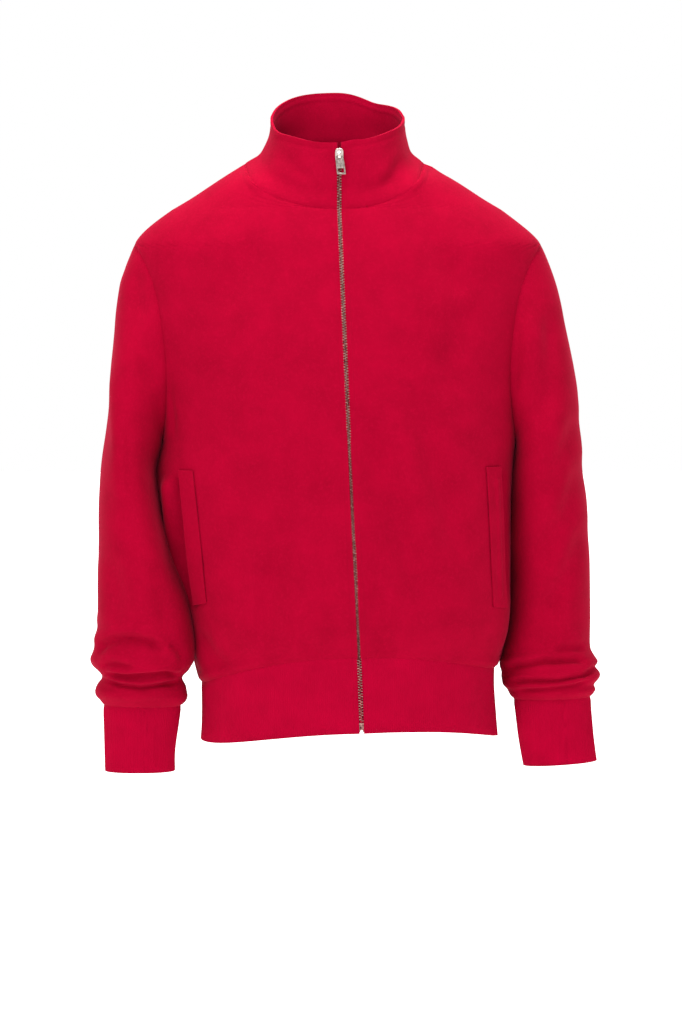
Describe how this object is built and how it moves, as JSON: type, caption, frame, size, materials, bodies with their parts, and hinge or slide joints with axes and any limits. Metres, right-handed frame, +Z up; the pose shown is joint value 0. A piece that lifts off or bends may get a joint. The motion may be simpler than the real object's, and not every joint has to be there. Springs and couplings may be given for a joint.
{
  "type": "sweatshirt",
  "caption": "Red fleece sweatshirt with a full-length metal zip, stand collar, ribbed cuffs and hem band, and slanted welt pockets, hollow as worn.",
  "frame": {"origin": "level of the shoulder seams at the neck, midway between the two sides of the neck, where the wearer's shoulders hold it up", "axes": "+Z up; the front faces -Y; +X is the wearer's left"},
  "size_m": [0.616, 0.2479, 0.8108],
  "materials": {
    "fleece": "soft matt brushed fleece",
    "rib_knit": "fine matt rib",
    "zip_tape": "woven tape",
    "zip_teeth": "antique",
    "zip_pull_metal": "pale nickel"
  },
  "bodies": {
    "garment": {"front_right": "fleece", "front_left": "fleece", "back": "fleece", "sleeve_right": "fleece", "sleeve_left": "fleece", "collar": "fleece", "pocket_welt_right": "fleece", "pocket_welt_left": "fleece", "cuff_right": "rib_knit", "cuff_left": "rib_knit", "hem_band": "rib_knit", "zip_tape_right": "zip_tape", "zip_tape_left": "zip_tape", "zip_chain": "zip_teeth", "zip_box": "zip_pull_metal", "zip_slider": "zip_pull_metal"},
    "pull_tab": {"pull_tab": "zip_pull_metal"}
  },
  "joints": [
    {"name": "pull_tab_hinge", "type": "hinge", "parent": "garment", "child": "pull_tab", "pos_m": [-0.00204, -0.09124, -0.00707], "axis": [-1, 0, 0], "range_deg": [0, 120]}
  ]
}
